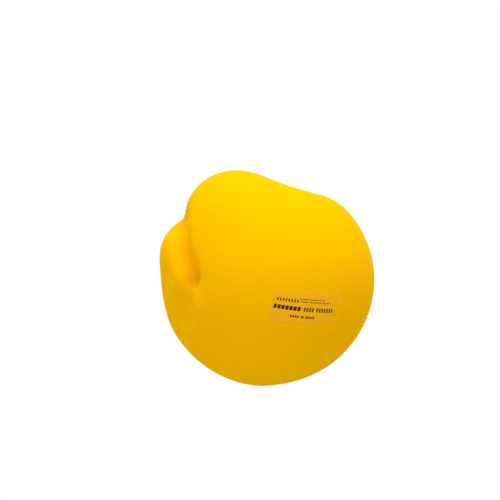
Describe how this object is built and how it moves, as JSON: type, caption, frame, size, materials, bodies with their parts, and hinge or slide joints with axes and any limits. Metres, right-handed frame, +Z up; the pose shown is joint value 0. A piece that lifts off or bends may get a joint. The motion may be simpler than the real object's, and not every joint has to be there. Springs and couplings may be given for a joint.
{
  "type": "soft handball",
  "caption": "Soft hollow vinyl handball with a dotted skin, a flush valve plug and a smooth print area, shaped as held squeezed in one hand.",
  "frame": {"origin": "centre of the round ball, which is also the centre of the squeezed ball's box", "axes": "+Z up as the ball is held, -Y toward the front with the print, +Y out along the valve's axis, +X to the right as seen from the front"},
  "size_m": [0.161, 0.1597, 0.1616],
  "materials": {
    "skin_vinyl": "satin soft vinyl, bright yellow, with shallow moulded dots",
    "sleeve_vinyl": "smooth soft vinyl, yellow",
    "plug_plastic": "smooth moulded plastic, off-white",
    "print_film": "smooth satin film, yellow a little more orange than the skin, with dark brown print"
  },
  "bodies": {
    "ball": {"skin": "skin_vinyl", "valve_sleeve": "sleeve_vinyl", "print_film": "print_film"},
    "plug": {"valve_plug": "plug_plastic"}
  },
  "joints": [
    {"name": "plug_pull", "type": "slide", "parent": "ball", "child": "plug", "axis": [0, 1, 0], "range_m": [0, 0.06]}
  ]
}
